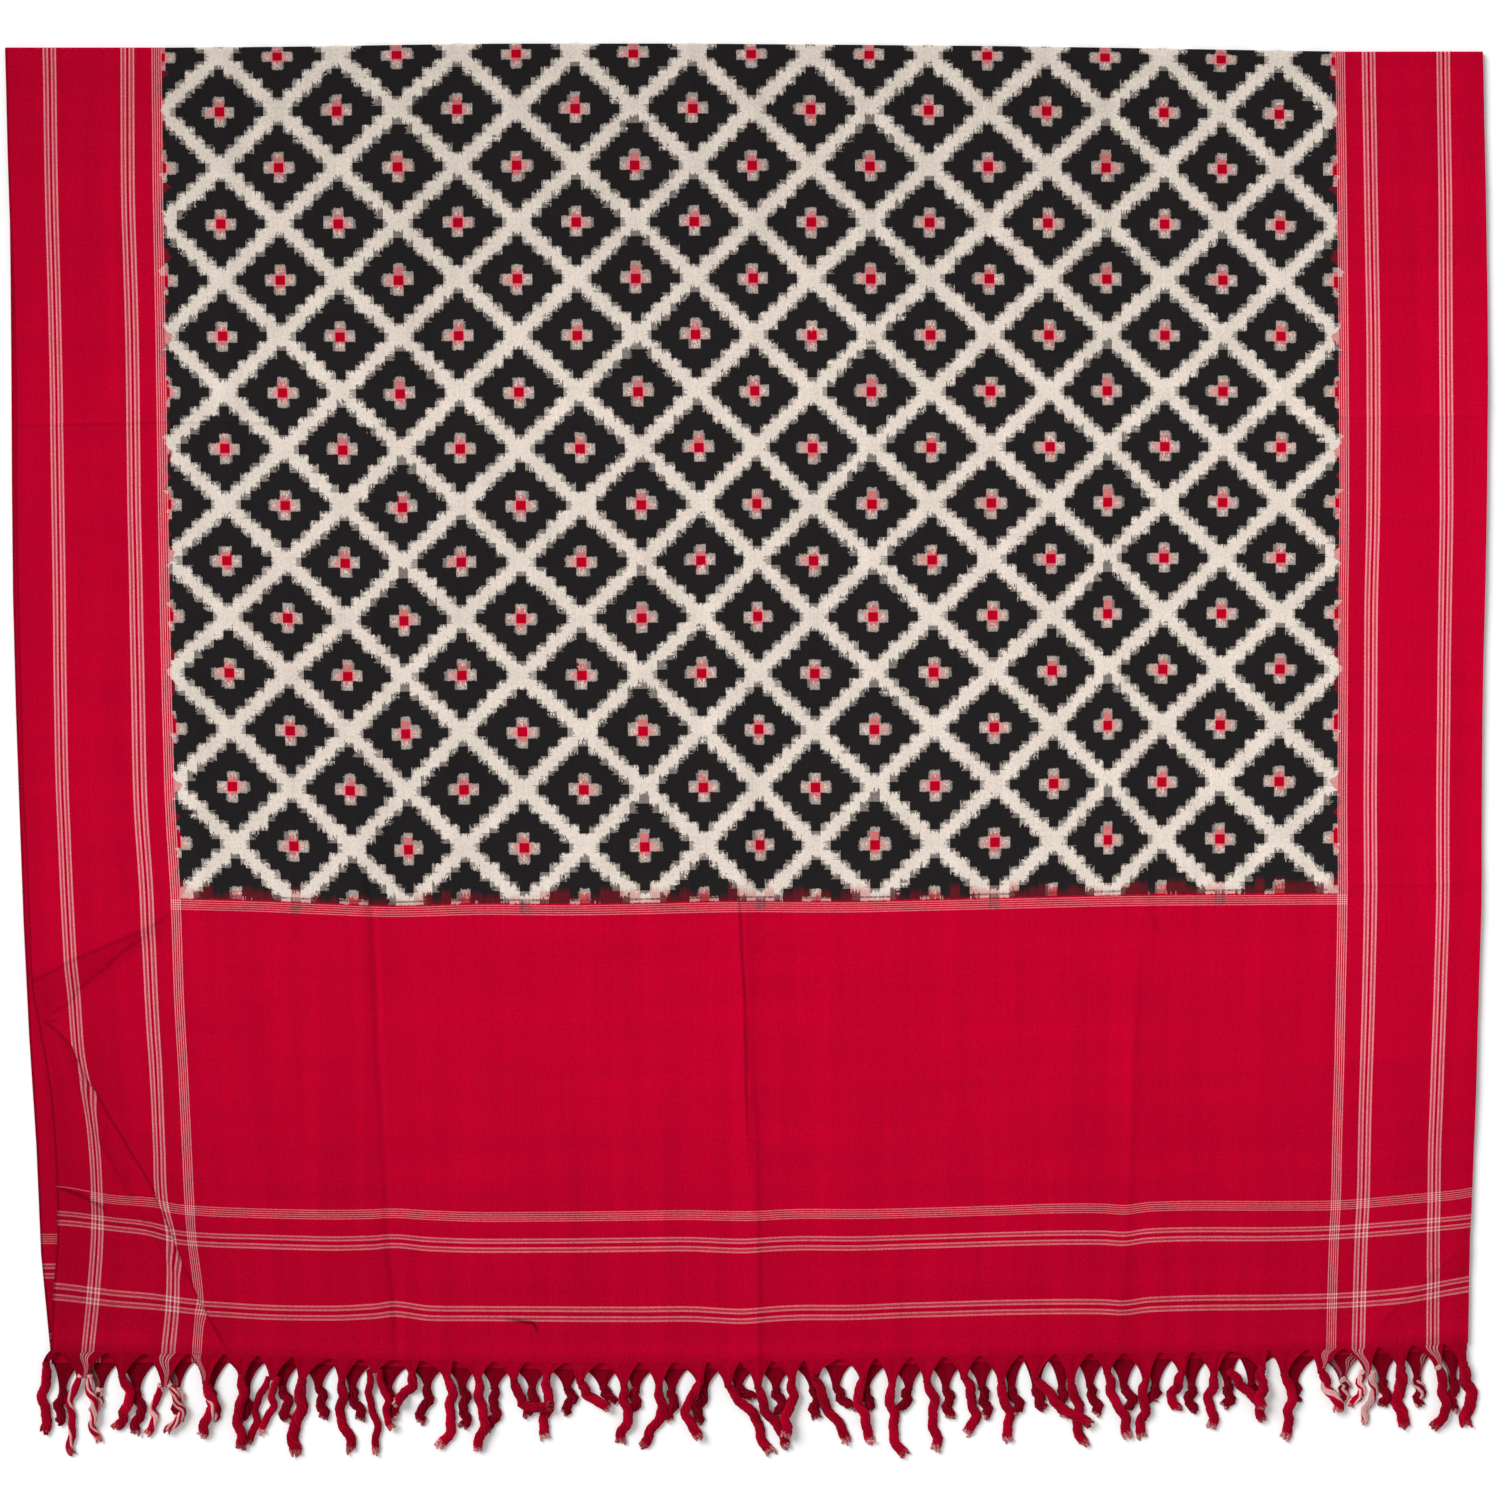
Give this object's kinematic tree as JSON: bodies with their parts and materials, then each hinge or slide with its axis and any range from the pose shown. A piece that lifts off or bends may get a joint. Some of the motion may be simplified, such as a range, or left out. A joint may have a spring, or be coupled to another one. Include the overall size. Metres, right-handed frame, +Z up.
{
  "type": "folded ikat woven cloth",
  "caption": "Cotton ikat cloth with a lattice field and striped borders, folded once in half and lying flat, with knotted fringes at both ends.",
  "frame": {"origin": "on the flat underside of the back layer, at the middle of the folded cloth without its fringe", "axes": "+X along the fold, +Y from the fringed ends towards the fold, +Z up out of the surface it lies on"},
  "size_m": [1.124, 1.0731, 0.0094],
  "materials": {
    "ikat_cotton": "matte plain weave",
    "warp_yarn": "matte loose yarn",
    "warp_yarn_back": "matte loose yarn"
  },
  "bodies": {
    "root": {"folded_cloth": "ikat_cotton", "front_fringe": "warp_yarn", "back_fringe": "warp_yarn_back"}
  },
  "joints": []
}
